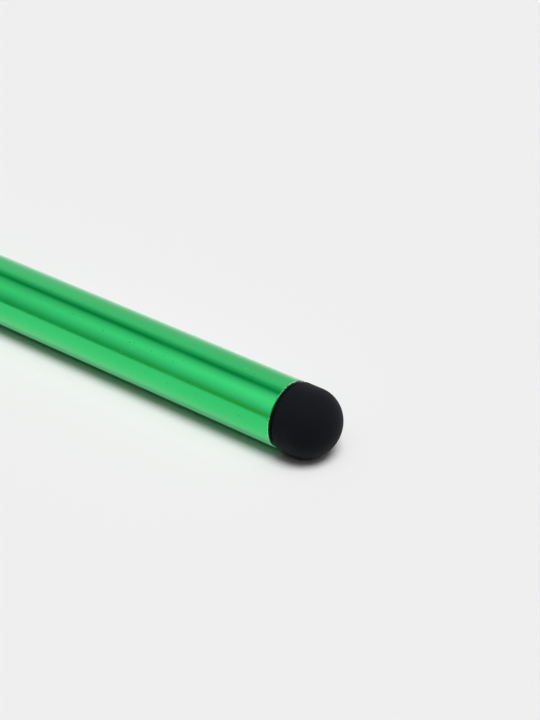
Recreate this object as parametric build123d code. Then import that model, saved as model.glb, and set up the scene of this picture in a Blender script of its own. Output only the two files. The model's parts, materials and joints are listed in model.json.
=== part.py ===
from build123d import *
import os
from math import asin, atan, atan2, cos, degrees, hypot, pi, sin, sqrt

# A twist-action ballpoint pen with a soft touch tip in its tail, lying on a table.
# X runs along the pen towards the touch tip, Z is up, and the clip is on the +Y side.
# The origin lies on the pen's axis, at the seam end of the lower barrel.
# A station is a place along X. All lengths are in millimetres.

# Fits
press_clearance = 0.02
thread_clearance = 0.04
running_clearance = 0.07
soft_clearance = 0.05
seam_gap = 0.1
end_play = 0.05
cut_overrun = 1.0

# Barrels
barrel_diameter = 8.0
barrel_wall = 0.45
upper_barrel_length = 70.0
barrel_edge_chamfer = 0.06

# Centre ring at the seam
ring_length = 1.6
ring_recess = 0.2
ring_chamfer = 0.15

# Touch tip and the carrier that holds it in the tube
dome_diameter = 8.1
dome_straight = 2.02
dome_cap_length = 3.76
dome_wall = 1.5
dome_apex_wall = 1.2
ellipse_pull_share = 0.5523
dome_shoulder_fillet = 0.1
rim_gap = 0.58
neck_depth = 3.2
carrier_length = 13.0
carrier_chamfer = 0.3
head_undercut = 0.5
head_length = 1.8
head_overhang = 0.8
head_front_chamfer = 0.5

# Pocket clip
clip_length = 38.0
clip_width = 3.4
clip_thickness = 0.7
clip_standoff = 1.6
clip_setback = 9.0
clip_tab_depth = 1.0
clip_edge_fillet = 0.2
clip_root_bend = 1.2
clip_ramp_bend = 6.0
clip_heel_bend = 2.4
clip_heel_gap = 0.15
clip_heel_from_end = 3.6
clip_ramp_length = 4.2
clip_lip_rise = 1.0
clip_slot_clearance = 0.15

# Twist unit
half_turns_to_extend = 1
refill_travel = 6.0
sleeve_nose_length = 6.05
sleeve_tail_length = 5.75
groove_depth_share = 0.6
rotor_wall = 0.6
rotor_tail_length = 9.0
rotor_floor = 1.0
rotor_lip = 0.6
washer_thickness = 0.6
washer_rim_clearance = 0.2
retainer_thickness = 0.4
retainer_groove_depth = 0.3
retainer_rim_clearance = 0.2
retainer_mouth = 2.6
coupling_floor = 0.8
collar_wall = 0.55
pin_diameter = 1.2
pin_clearance = 0.1
pin_setback = 4.0
pin_end_clearance = 0.1
slider_length = 13.6
slider_wall = 0.5
slider_chamfer = 0.2
socket_depth = 5.0

# Return spring
spring_wire = 0.35
spring_turns = 8
quarters_per_turn = 4
spring_seat_clearance = 0.05

# Refill, the standard slim size
refill_length = 67.0
refill_diameter = 2.35
refill_wall = 0.32
refill_tail_room = 6.0
ball_diameter = 0.7
ball_clearance = 0.02
ball_lip_share = 0.57
ball_lip_wall = 0.05
point_taper = 2.2
point_shank_length = 3.2
point_shank_diameter = 1.5
point_shoulder = 1.6
point_spigot = 5.0
ink_channel_diameter = 0.5
point_recess = 3.4

# Nose cone and its threaded bush
nose_length = 14.0
nose_end_diameter = 2.9
nose_belly_share = 0.13
nose_lip_fillet = 0.2
nose_bore_clearance = 0.28
nose_hole_clearance = 0.1
nose_hole_length = 2.0
nose_throat_length = 2.5
nose_thread_length = 7.0
nose_thread_chamfer = 0.3
nose_bush_length = 9.0
nose_bush_wall = 0.6

# Radii that follow
barrel_radius = barrel_diameter / 2
bore_radius = barrel_radius - barrel_wall
insert_radius = bore_radius - press_clearance
dome_radius = dome_diameter / 2
refill_radius = refill_diameter / 2
pin_radius = pin_diameter / 2
ball_radius = ball_diameter / 2
slider_radius = refill_radius + press_clearance + slider_wall
rotor_bore = slider_radius + running_clearance
rotor_radius = rotor_bore + rotor_wall
sleeve_bore = rotor_radius + running_clearance
groove_radius = sleeve_bore + groove_depth_share * (insert_radius - sleeve_bore)
head_radius = dome_radius - dome_wall - soft_clearance
spigot_radius = head_radius - head_undercut
collar_radius = rotor_radius + press_clearance + collar_wall
point_shank_radius = point_shank_diameter / 2
refill_bore = refill_radius - refill_wall
nose_bore = refill_radius + nose_bore_clearance
nose_thread_radius = insert_radius - nose_bush_wall - thread_clearance

# Stations that follow, from the seam: the refill's length sets how long the lower barrel is.
seam = ring_length + seam_gap
rim = seam + upper_barrel_length
sleeve_start = ring_length + washer_thickness + end_play
groove_start = sleeve_start + sleeve_nose_length
pin_station = groove_start + pin_clearance + pin_radius + refill_travel
sleeve_end = pin_station + sleeve_tail_length
slider_back = pin_station + pin_setback
slider_front = slider_back - slider_length
refill_tail = slider_front + socket_depth
ball_front = refill_tail - refill_length
nose_tip = ball_front - point_recess
nose_base = nose_tip + nose_length
retainer_start = sleeve_end + end_play
retainer_end = retainer_start + retainer_thickness
rotor_start = -rotor_tail_length
rotor_end = retainer_end + rotor_lip
carrier_front = rim - neck_depth
carrier_back = carrier_front - carrier_length
dome_shoulder = rim + rim_gap
dome_shoulder_end = dome_shoulder + dome_straight
dome_apex = dome_shoulder_end + dome_cap_length
clip_root = rim - clip_setback

# The clip lies on the table: its rounded lower corner is level with the underside of the barrel.
clip_inner_face = barrel_radius + clip_standoff
clip_outer_face = clip_inner_face + clip_thickness
clip_corner_out = clip_outer_face - clip_edge_fillet
clip_corner_across = clip_width / 2 - clip_edge_fillet
clip_corner_reach = hypot(clip_corner_out, clip_corner_across)
clip_corner_angle = atan2(clip_corner_across, clip_corner_out)
clip_roll = clip_corner_angle - asin((barrel_radius - clip_edge_fillet) / clip_corner_reach)

# One half turn of the barrels moves the refill by its whole travel.
twist_angle = 180 * half_turns_to_extend
twist_lead = refill_travel * 360 / twist_angle


def turned(points):
    """Solid of revolution about the pen's axis, from points of station and radius."""
    return revolve(make_face(Polyline(*points, close=True)), Axis.X)


def turned_outline(edges):
    """Solid of revolution about the pen's axis, from a closed loop of edges."""
    return revolve(make_face(edges), Axis.X)


def tube(start, end, outer, inner, chamfer=0):
    """Plain tube between two stations, with its outer edges broken by a chamfer."""
    return turned(
        [
            (start, inner),
            (end, inner),
            (end, outer - chamfer),
            (end - chamfer, outer),
            (start + chamfer, outer),
            (start, outer - chamfer),
        ]
        if chamfer
        else [(start, inner), (end, inner), (end, outer), (start, outer)]
    )


def rod(start, end, radius):
    """Solid round bar between two stations."""
    return turned([(start, 0), (end, 0), (end, radius), (start, radius)])


def on_clip_side(shape):
    """Turn a shape from the +Y side down to where the clip meets the table."""
    return shape.rotate(Axis.X, degrees(clip_roll))


def clip_slot(depth_radius):
    """Cutter for the slot that the clip's tab passes through, down to a radius."""
    length = clip_thickness + 2 * clip_slot_clearance
    width = clip_width + 2 * clip_slot_clearance
    height = barrel_radius + cut_overrun - depth_radius
    block = Pos(clip_root, depth_radius + height / 2, 0) * Box(length, height, width)
    return on_clip_side(block)


def upper_barrel():
    """Bright tube of the tail half, with the clip's slot through its wall."""
    shell = tube(seam, rim, barrel_radius, bore_radius, barrel_edge_chamfer)
    return shell - clip_slot(0)


def lower_barrel():
    """Bright tube of the writing half."""
    return tube(nose_base, 0, barrel_radius, bore_radius, barrel_edge_chamfer)


def centre_ring():
    """Bright trim ring between the two barrels, seated on the coupling bush's collar."""
    outer = barrel_radius - ring_recess
    return tube(0, ring_length, outer, collar_radius + press_clearance, ring_chamfer)


def tip_carrier():
    """Turned plug in the tube's end: a mushroom spigot for the touch tip, a slot for the clip's tab."""
    head_front = rim + head_overhang
    head_back = head_front - head_length
    plug = turned(
        [
            (carrier_back, 0),
            (head_front, 0),
            (head_front, head_radius - head_front_chamfer),
            (head_front - head_front_chamfer, head_radius),
            (head_back, head_radius),
            (head_back, spigot_radius),
            (carrier_front, spigot_radius),
            (carrier_front, insert_radius),
            (carrier_back + carrier_chamfer, insert_radius),
            (carrier_back, insert_radius - carrier_chamfer),
        ]
    )
    tab_foot = barrel_radius - clip_tab_depth
    return plug - clip_slot(tab_foot - clip_slot_clearance)


def cap_curve(start, length, radius):
    """Quarter ellipse from a cylinder's end to the pen's axis."""
    return Bezier(
        (start, radius),
        (start + ellipse_pull_share * length, radius),
        (start + length, ellipse_pull_share * radius),
        (start + length, 0),
    )


def stylus_dome():
    """Hollow rubber touch tip: a neck in the tube, a crisp shoulder and a round cap."""
    neck = bore_radius - soft_clearance
    neck_bore = spigot_radius + soft_clearance
    cavity = dome_radius - dome_wall
    cavity_cap = dome_cap_length - dome_apex_wall
    neck_back = carrier_front + soft_clearance
    undercut = rim + head_overhang - head_length - soft_clearance
    corner = dome_shoulder_fillet
    outline = [
        Line((neck_back, neck_bore), (neck_back, neck)),
        Line((neck_back, neck), (dome_shoulder, neck)),
        Line((dome_shoulder, neck), (dome_shoulder, dome_radius - corner)),
        CenterArc((dome_shoulder + corner, dome_radius - corner), corner, 90, 90),
        Line((dome_shoulder + corner, dome_radius), (dome_shoulder_end, dome_radius)),
        cap_curve(dome_shoulder_end, dome_cap_length, dome_radius),
        Line((dome_apex, 0), (dome_apex - dome_apex_wall, 0)),
        cap_curve(dome_shoulder_end, cavity_cap, cavity),
        Line((dome_shoulder_end, cavity), (undercut, cavity)),
        Line((undercut, cavity), (undercut, neck_bore)),
        Line((undercut, neck_bore), (neck_back, neck_bore)),
    ]
    return turned_outline(outline)


def pocket_clip():
    """Sprung steel strip: a tab through the barrel, a long straight arm and a heel near the barrel."""
    middle = clip_inner_face + clip_thickness / 2
    tab_foot = barrel_radius - clip_tab_depth
    heel = barrel_radius + clip_heel_gap + clip_thickness / 2
    end = clip_root - clip_length
    heel_station = end + clip_heel_from_end
    path = FilletPolyline(
        (clip_root, tab_foot),
        (clip_root, middle),
        (heel_station + clip_ramp_length, middle),
        (heel_station, heel),
        (end, heel + clip_lip_rise),
        radius=[clip_root_bend, clip_ramp_bend, clip_heel_bend],
    )
    foot = Plane(origin=(clip_root, tab_foot, 0), x_dir=(1, 0, 0), z_dir=(0, 1, 0))
    section = foot * RectangleRounded(clip_thickness, clip_width, clip_edge_fillet)
    return on_clip_side(sweep(section, path))


def guide_sleeve():
    """Moulded sleeve fixed in the upper barrel, with two straight grooves for the cross pin."""
    body = tube(sleeve_start, sleeve_end, insert_radius, sleeve_bore)
    width = pin_diameter + 2 * pin_clearance
    length = sleeve_end + cut_overrun - groove_start
    groove = Pos(groove_start + length / 2, 0, 0) * Box(length, width, 2 * groove_radius)
    return body - groove


def helix_rotor():
    """Tube fixed to the lower barrel, with two helical slots that drive the cross pin."""
    groove = rotor_radius - retainer_groove_depth
    body = turned(
        [
            (rotor_start, refill_radius + running_clearance),
            (rotor_start + rotor_floor, refill_radius + running_clearance),
            (rotor_start + rotor_floor, rotor_bore),
            (rotor_end, rotor_bore),
            (rotor_end, rotor_radius),
            (retainer_end, rotor_radius),
            (retainer_end, groove),
            (retainer_start, groove),
            (retainer_start, rotor_radius),
            (rotor_start, rotor_radius),
        ]
    )
    room = pin_radius + pin_clearance
    slot_start = pin_station - refill_travel - room
    slot_length = refill_travel + 2 * room
    helix_slope = atan(twist_lead / (2 * pi * rotor_radius))
    slot_width = 2 * room / sin(helix_slope)
    turn_per_length = 360 / twist_lead
    start_turn = turn_per_length * (slot_start - pin_station)
    across = Plane(origin=(slot_start, 0, 0), x_dir=(0, 1, 0), z_dir=(1, 0, 0))
    reach = 2 * (rotor_radius + cut_overrun)
    bar = (across * Rectangle(slot_width, reach)).face().rotate(Axis.X, start_turn)
    slots = Solid.extrude_linear_with_rotation(
        bar, (slot_start, 0, 0), (slot_length, 0, 0), turn_per_length * slot_length
    )
    return body - slots


def retaining_ring():
    """Open spring ring in the rotor's groove, which keeps the two halves together."""
    inner = rotor_radius - retainer_groove_depth + press_clearance
    outer = bore_radius - retainer_rim_clearance
    ring = tube(
        retainer_start + press_clearance, retainer_end - press_clearance, outer, inner
    )
    middle = (retainer_start + retainer_end) / 2
    mouth = Pos(middle, outer, 0) * Box(
        retainer_thickness + cut_overrun, 2 * outer, retainer_mouth
    )
    return ring - mouth


def thrust_washer():
    """Slippery washer between the coupling bush's collar and the guide sleeve."""
    return tube(
        ring_length,
        ring_length + washer_thickness,
        bore_radius - washer_rim_clearance,
        rotor_radius + press_clearance,
    )


def coupling_bush():
    """Brass bush pressed into the lower barrel: it grips the rotor and carries the centre ring."""
    socket = rotor_radius + press_clearance
    bush_end = rotor_start - coupling_floor
    return turned(
        [
            (bush_end, nose_bore),
            (rotor_start, nose_bore),
            (rotor_start, socket),
            (ring_length, socket),
            (ring_length, collar_radius),
            (0, collar_radius),
            (0, insert_radius),
            (bush_end, insert_radius),
        ]
    )


def slider():
    """Moulded plunger inside the rotor: it holds the refill's tail and the cross pin."""
    socket = refill_radius + press_clearance
    body = turned(
        [
            (slider_front, socket),
            (refill_tail, socket),
            (refill_tail, 0),
            (slider_back, 0),
            (slider_back, slider_radius - slider_chamfer),
            (slider_back - slider_chamfer, slider_radius),
            (slider_front, slider_radius),
        ]
    )
    hole = pin_radius + press_clearance
    return body - Pos(pin_station, 0, 0) * Cylinder(hole, 2 * (slider_radius + cut_overrun))


def cross_pin():
    """Steel pin through the slider: its ends run in the helical slots and the straight grooves."""
    length = 2 * (groove_radius - pin_end_clearance)
    return Pos(pin_station, 0, 0) * Cylinder(pin_radius, length)


def biarc(start, start_way, end, end_way):
    """Two circular arcs that join two points along two unit directions."""
    chord = end - start
    ways = start_way + end_way
    bend = 2 * (1 - start_way.dot(end_way))
    run = chord.dot(ways)
    reach = (sqrt(run * run + bend * chord.dot(chord)) - run) / bend
    middle = (start + end + (start_way - end_way) * reach) / 2
    first = TangentArc(start, middle, tangent=start_way)
    return [first, TangentArc(middle, end, tangent=first % 1)]


def spring_points(floor, ceiling, radius):
    """Points and directions along the spring's wire, one for each quarter turn."""
    count = spring_turns * quarters_per_turn
    rise = (ceiling - floor) / count
    step = 2 * pi / quarters_per_turn
    climb = rise / step
    points = []
    for i in range(count + 1):
        place = Vector(floor + rise * i, radius * cos(step * i), radius * sin(step * i))
        way = Vector(climb, -radius * sin(step * i), radius * cos(step * i)).normalized()
        points.append((place, way))
    return points


def return_spring():
    """Coil spring around the refill, between the rotor's floor and the slider."""
    inset = spring_seat_clearance + spring_wire / 2
    floor = rotor_start + rotor_floor + inset
    ceiling = slider_front - inset
    points = spring_points(floor, ceiling, (refill_radius + rotor_bore) / 2)
    arcs = []
    for (start, start_way), (end, end_way) in zip(points, points[1:]):
        arcs += biarc(start, start_way, end, end_way)
    path = Wire(arcs)
    place, way = points[0]
    coil_gap = min(
        (path.position_at(i / len(points)) - path.position_at(j / len(points))).length
        for i in range(len(points))
        for j in range(i + quarters_per_turn - 1, len(points))
    )
    print("return_spring: least gap to itself", round(coil_gap - spring_wire, 3), "mm")
    section = Plane(origin=place, z_dir=way) * Circle(spring_wire / 2)
    return sweep(section, path)


def ball_centre():
    """Station of the writing ball's centre."""
    return ball_front + ball_radius


def point_stations():
    """Stations along the point: its lip, and the ends of its taper, shank, shoulder and spigot."""
    lip = ball_centre() - ball_lip_share * ball_radius
    taper_end = lip + point_taper
    shank_end = taper_end + point_shank_length
    shoulder_end = shank_end + point_shoulder
    return lip, taper_end, shank_end, shoulder_end, shoulder_end + point_spigot


def writing_point():
    """Turned point of the refill: the ball's seat, a taper, a shank and a spigot in the tube."""
    lip, taper_end, shank_end, shoulder_end, spigot_end = point_stations()
    channel = ink_channel_diameter / 2
    seat = ball_radius + ball_clearance
    lip_radius = sqrt(seat**2 - (ball_centre() - lip) ** 2) + ball_lip_wall
    spigot = refill_bore - press_clearance
    body = turned(
        [
            (lip, 0),
            (spigot_end, 0),
            (spigot_end, spigot),
            (shoulder_end, spigot),
            (shoulder_end, refill_radius),
            (shank_end, point_shank_radius),
            (taper_end, point_shank_radius),
            (lip, lip_radius),
        ]
    )
    return body - Pos(ball_centre(), 0, 0) * Sphere(seat) - rod(ball_centre(), spigot_end, channel)


def writing_ball():
    """Hard ball in the point's seat."""
    return Pos(ball_centre(), 0, 0) * Sphere(ball_radius)


def refill_tube():
    """Thin metal ink tube, pressed on the point's spigot and into the slider's socket."""
    shoulder_end = point_stations()[3]
    return tube(shoulder_end, refill_tail, refill_radius, refill_bore)


def ink_column():
    """The ink in the tube, from the point's spigot up to the air space at the tail."""
    spigot_end = point_stations()[4]
    return rod(spigot_end, refill_tail - refill_tail_room, refill_bore - press_clearance)


def nose_cone():
    """Bright screwed nose: a swelling taper, a bore for the refill and a hole for the point."""
    hole = point_shank_radius + nose_hole_clearance
    end_radius = nose_end_diameter / 2
    throat = nose_tip + nose_hole_length
    thread_end = nose_base + nose_thread_length
    lip = nose_lip_fillet
    middle = (nose_base + nose_tip + lip) / 2
    belly = (barrel_radius + end_radius) / 2 + nose_belly_share * (barrel_radius - end_radius)
    outline = [
        ThreePointArc((nose_base, barrel_radius), (middle, belly), (nose_tip + lip, end_radius)),
        CenterArc((nose_tip + lip, end_radius - lip), lip, 90, 90),
        Polyline(
            (nose_tip, end_radius - lip),
            (nose_tip, hole),
            (throat, hole),
            (throat + nose_throat_length, nose_bore),
            (thread_end, nose_bore),
            (thread_end, nose_thread_radius - nose_thread_chamfer),
            (thread_end - nose_thread_chamfer, nose_thread_radius),
            (nose_base, nose_thread_radius),
            (nose_base, barrel_radius),
        ),
    ]
    return turned_outline(outline)


def nose_bush():
    """Brass bush pressed into the lower barrel's end, which the nose cone screws into."""
    return tube(
        nose_base,
        nose_base + nose_bush_length,
        insert_radius,
        nose_thread_radius + thread_clearance,
    )


pieces = [
    upper_barrel,
    tip_carrier,
    guide_sleeve,
    stylus_dome,
    pocket_clip,
    lower_barrel,
    centre_ring,
    coupling_bush,
    helix_rotor,
    retaining_ring,
    thrust_washer,
    return_spring,
    nose_bush,
    nose_cone,
    slider,
    cross_pin,
    refill_tube,
    ink_column,
    writing_point,
    writing_ball,
]

os.makedirs("parts", exist_ok=True)
for make_piece in pieces:
    export_step(make_piece(), os.path.join("parts", make_piece.__name__ + ".step"))
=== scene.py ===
"""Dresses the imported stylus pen: its meshes, finishes, table, light and camera.

The pen lies on a pale table. X runs along it towards the touch tip, Z is up, and lengths are in
metres unless a name says otherwise.
"""

import cmath
import itertools
import json
import logging
import math
from dataclasses import dataclass, field
from enum import Enum
from typing import Any, Callable, Optional, Sequence

import bmesh
import bpy
from mathutils import Matrix, Vector, noise


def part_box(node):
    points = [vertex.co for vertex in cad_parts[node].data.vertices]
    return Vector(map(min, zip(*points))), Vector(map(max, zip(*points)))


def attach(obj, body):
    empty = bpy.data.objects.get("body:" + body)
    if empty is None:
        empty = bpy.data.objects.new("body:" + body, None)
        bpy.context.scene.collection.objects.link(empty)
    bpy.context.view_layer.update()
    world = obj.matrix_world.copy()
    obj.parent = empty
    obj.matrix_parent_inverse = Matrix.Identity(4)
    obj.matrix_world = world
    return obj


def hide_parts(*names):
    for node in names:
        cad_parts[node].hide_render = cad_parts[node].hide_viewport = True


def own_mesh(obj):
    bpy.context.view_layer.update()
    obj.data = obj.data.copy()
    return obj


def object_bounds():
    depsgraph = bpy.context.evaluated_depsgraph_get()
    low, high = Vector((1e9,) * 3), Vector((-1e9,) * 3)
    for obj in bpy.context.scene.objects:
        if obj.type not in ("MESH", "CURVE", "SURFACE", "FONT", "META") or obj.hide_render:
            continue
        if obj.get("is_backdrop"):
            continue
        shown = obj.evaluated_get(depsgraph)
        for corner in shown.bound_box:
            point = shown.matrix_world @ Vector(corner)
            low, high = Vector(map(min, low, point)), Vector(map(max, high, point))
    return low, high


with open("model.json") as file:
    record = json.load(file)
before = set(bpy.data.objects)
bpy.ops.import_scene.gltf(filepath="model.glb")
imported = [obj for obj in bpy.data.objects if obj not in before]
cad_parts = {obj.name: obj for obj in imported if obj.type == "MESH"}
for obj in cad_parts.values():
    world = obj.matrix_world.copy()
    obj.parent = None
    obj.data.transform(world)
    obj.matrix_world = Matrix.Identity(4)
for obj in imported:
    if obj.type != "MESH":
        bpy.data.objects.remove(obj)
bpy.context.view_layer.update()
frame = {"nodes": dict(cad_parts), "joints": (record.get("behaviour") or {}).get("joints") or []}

LOG = logging.getLogger("stylus_pen")
MM = 0.001
FULL_TURN = 2 * math.pi
HALF_TURN_DEG = 180.0
SHARP_DEG = 32.0
TUBE_WALL = 0.45 * MM
TUBE_EDGE = 0.06 * MM
CLIP_SETBACK = 9.0 * MM
ALONG = Vector((1, 0, 0))
WHOLE = (0.0, 1.0)
FALLING = (1.0, 0.0)

Colour = tuple[float, float, float]
Span = tuple[float, float]
Point = tuple[float, float]
Outline = list[Point]
Ring = list[bmesh.types.BMVert]
Shift = Callable[[int, float], Point]
Socket = bpy.types.NodeSocket
Sockets = bpy.types.NodeOutputs


class Effect(Enum):
    """Surface effects that more than one finish shares."""

    SPECKS = "dust_specks"
    RINGS = "lathe_rings"
    SMEARS = "handling_smears"
    GRAIN = "moulded_grain"


class Body(Enum):
    """Bodies of the pen that the modelled pieces ride on."""

    TAIL_HALF = "upper_barrel"
    WRITING_HALF = "lower_barrel"
    TIP = "dome"
    CLIP = "clip"


class Wiring:
    """Places and joins the nodes of one tree."""

    def __init__(self, tree: bpy.types.NodeTree) -> None:
        """Start on an empty tree."""
        self.tree = tree

    def place(self, kind: str, inputs: Optional[dict[Any, Any]] = None, **settings: Any) -> bpy.types.Node:
        """Add a node, with its settings and what feeds it.

        Args:
            kind: The node's type name.
            inputs: Socket name or number to a value, or to the socket that feeds it.
            settings: The node's own properties.

        Returns:
            The new node.
        """
        node = self.tree.nodes.new(kind)
        for key, value in settings.items():
            setattr(node, key, value)
        for key, value in (inputs or {}).items():
            self.feed(node.inputs[key], value)
        return node

    def feed(self, socket: Socket, value: Any) -> None:
        """Set one input of a node, or link it to another node's output.

        Args:
            socket: The input.
            value: A plain value, a colour without alpha, or the output that feeds it.
        """
        if isinstance(value, Socket):
            self.tree.links.new(value, socket)
        elif socket.type == "RGBA":
            socket.default_value = (*value, 1.0)
        else:
            socket.default_value = value

    def math(self, operation: str, *values: Any, clamp: bool = False) -> Socket:
        """Add a Math node.

        Args:
            operation: The node's operation.
            values: Its inputs in order, as numbers or sockets.
            clamp: Whether the result is kept between 0 and 1.

        Returns:
            The node's output.
        """
        inputs = dict(enumerate(values))
        return self.place("ShaderNodeMath", inputs, operation=operation, use_clamp=clamp).outputs[0]

    def spread(self, value: Socket, read: Span, made: Span = WHOLE, soft: bool = False) -> Socket:
        """Map a value from one range to another, clamped at both ends.

        Args:
            value: The value to map.
            read: Start and end of the range that is read.
            made: What the start and the end become.
            soft: Whether the ends are eased.

        Returns:
            The mapped value's socket.
        """
        names = ("Value", "From Min", "From Max", "To Min", "To Max")
        inputs = dict(zip(names, (value, *read, *made)))
        kind = "SMOOTHSTEP" if soft else "LINEAR"
        node = self.place("ShaderNodeMapRange", inputs, interpolation_type=kind, clamp=True)
        return node.outputs["Result"]

    def blend(self, share: Socket, first: Any, second: Any) -> Socket:
        """Mix two colours.

        Args:
            share: How much of the second colour shows.
            first: The colour at share 0, plain or from a socket.
            second: The colour at share 1, likewise.

        Returns:
            The mixed colour's socket.
        """
        node = self.place("ShaderNodeMix", {"Factor": share}, data_type="RGBA")
        colours = [socket for socket in node.inputs if socket.type == "RGBA"]
        for socket, value in zip(colours, (first, second)):
            self.feed(socket, value)
        return next(socket for socket in node.outputs if socket.type == "RGBA")

    def whereabouts(self, kind: str = "Object") -> Socket:
        """Where a point is, in one kind of texture coordinates."""
        return self.place("ShaderNodeTexCoord").outputs[kind]

    def axes(self, kind: str = "Object") -> Sockets:
        """The X, Y and Z of where a point is, by name."""
        return self.place("ShaderNodeSeparateXYZ", {"Vector": self.whereabouts(kind)}).outputs

    def bump(self, height: Socket, depth: float) -> Socket:
        """Turn a height from 0 to 1 into a normal, where a height of 1 is one depth."""
        inputs = {"Height": height, "Distance": depth, "Strength": 1.0}
        return self.place("ShaderNodeBump", inputs).outputs["Normal"]

    def surface(self, inputs: dict[str, Any]) -> None:
        """End a material with its Principled shader, which the inputs feed."""
        shader = self.place("ShaderNodeBsdfPrincipled", inputs)
        self.place("ShaderNodeOutputMaterial", {"Surface": shader.outputs["BSDF"]})


class EffectShelf:
    """Builds each shared effect once, as a shader node group."""

    SMEAR_STRETCH = (0.45, 1.0, 1.0)
    SMEAR_CONTRAST = (0.35, 0.7)
    SLOW_SHARE = 0.04

    def __init__(self) -> None:
        """Start with no group built, and with each effect's maker and inputs."""
        self.groups: dict[Effect, bpy.types.NodeTree] = {}
        self.makers: dict[Effect, tuple[Callable[..., dict[str, Socket]], tuple[str, ...]]] = {
            Effect.SPECKS: (self.specks, ("Scale", "Share", "Radius")),
            Effect.RINGS: (self.rings, ("Scale",)),
            Effect.SMEARS: (self.smears, ("Scale",)),
            Effect.GRAIN: (self.grain, ("Scale",)),
        }

    def group(self, effect: Effect) -> bpy.types.NodeTree:
        """Get an effect's node group, built the first time it is asked for.

        Args:
            effect: Which effect.

        Returns:
            The node group.
        """
        if effect not in self.groups:
            tree = bpy.data.node_groups.new(effect.value, "ShaderNodeTree")
            maker, inputs = self.makers[effect]
            for name in inputs:
                tree.interface.new_socket(name, in_out="INPUT", socket_type="NodeSocketFloat")
            wiring = Wiring(tree)
            made = maker(wiring, wiring.place("NodeGroupInput").outputs)
            for name in made:
                tree.interface.new_socket(name, in_out="OUTPUT", socket_type="NodeSocketFloat")
            wiring.place("NodeGroupOutput", made)
            self.groups[effect] = tree
        return self.groups[effect]

    def place(self, wiring: Wiring, effect: Effect, **values: float) -> Sockets:
        """Put an effect into a material.

        Args:
            wiring: The material's wiring.
            effect: Which effect.
            values: The group's inputs, named in small letters.

        Returns:
            The effect's outputs, by name.
        """
        inputs = {name.capitalize(): value for name, value in values.items()}
        return wiring.place("ShaderNodeGroup", inputs, node_tree=self.group(effect)).outputs

    def specks(self, wiring: Wiring, given: Sockets) -> dict[str, Socket]:
        """Wire small round spots, scattered so that only a share of the cells holds one.

        Args:
            wiring: The group's wiring.
            given: The group's inputs, by name.

        Returns:
            The group's outputs, by name.
        """
        inputs = {"Vector": wiring.whereabouts(), "Scale": given["Scale"]}
        cells = wiring.place("ShaderNodeTexVoronoi", inputs).outputs
        spot = wiring.math("LESS_THAN", cells["Distance"], given["Radius"])
        lottery = wiring.place("ShaderNodeSeparateColor", {"Color": cells["Color"]}).outputs
        drawn = wiring.math("LESS_THAN", lottery["Red"], given["Share"])
        return {"Mask": wiring.math("MULTIPLY", spot, drawn)}

    def rings(self, wiring: Wiring, given: Sockets) -> dict[str, Socket]:
        """Wire the fine rings left by a lathe, along the pen on its walls and outwards on its faces.

        Args:
            wiring: The group's wiring.
            given: The group's inputs, by name.

        Returns:
            The group's outputs, by name.
        """
        parts = wiring.axes()
        square_y = wiring.math("MULTIPLY", parts["Y"], parts["Y"])
        reach = wiring.math("SQRT", wiring.math("MULTIPLY_ADD", parts["Z"], parts["Z"], square_y))
        inputs = {
            "W": wiring.math("ADD", parts["X"], reach),
            "Scale": given["Scale"],
            "Detail": 3.0,
            "Roughness": 0.7,
        }
        marks = wiring.place("ShaderNodeTexNoise", inputs, noise_dimensions="1D")
        return {"Height": marks.outputs["Fac"]}

    def smears(self, wiring: Wiring, given: Sockets) -> dict[str, Socket]:
        """Wire soft patches from handling, a little drawn out along the pen.

        Args:
            wiring: The group's wiring.
            given: The group's inputs, by name.

        Returns:
            The group's outputs, by name.
        """
        inputs = {"Vector": wiring.whereabouts(), "Scale": self.SMEAR_STRETCH}
        drawn_out = wiring.place("ShaderNodeMapping", inputs).outputs["Vector"]
        inputs = {"Vector": drawn_out, "Scale": given["Scale"], "Detail": 4.0, "Distortion": 0.6}
        patches = wiring.place("ShaderNodeTexNoise", inputs).outputs["Fac"]
        return {"Value": wiring.spread(patches, self.SMEAR_CONTRAST, soft=True)}

    def grain(self, wiring: Wiring, given: Sockets) -> dict[str, Socket]:
        """Wire the fine even texture of a moulded surface, with slow changes over it.

        Args:
            wiring: The group's wiring.
            given: The group's inputs, by name.

        Returns:
            The group's outputs, by name.
        """
        place = wiring.whereabouts()
        inputs = {"Vector": place, "Scale": given["Scale"], "Detail": 3.0, "Roughness": 0.65}
        fine = wiring.place("ShaderNodeTexNoise", inputs)
        broad = wiring.math("MULTIPLY", given["Scale"], self.SLOW_SHARE)
        slow = wiring.place("ShaderNodeTexNoise", {"Vector": place, "Scale": broad, "Detail": 2.0})
        return {"Height": fine.outputs["Fac"], "Value": slow.outputs["Fac"]}


SHELF = EffectShelf()


@dataclass(frozen=True)
class Specks:
    """How fine, how many and how large the specks on a finish are."""

    scale: float = 1500.0
    share: float = 0.05
    radius: float = 0.11

    def mask(self, wiring: Wiring) -> Socket:
        """Scatter the specks over a material."""
        values = {"scale": self.scale, "share": self.share, "radius": self.radius}
        return SHELF.place(wiring, Effect.SPECKS, **values)["Mask"]


def start_material(name: str) -> tuple[bpy.types.Material, Wiring]:
    """Make an empty material.

    Args:
        name: The material's name.

    Returns:
        The material and its wiring.
    """
    material = bpy.data.materials.new(name)
    material.use_nodes = True
    material.node_tree.nodes.clear()
    return material, Wiring(material.node_tree)


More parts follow.
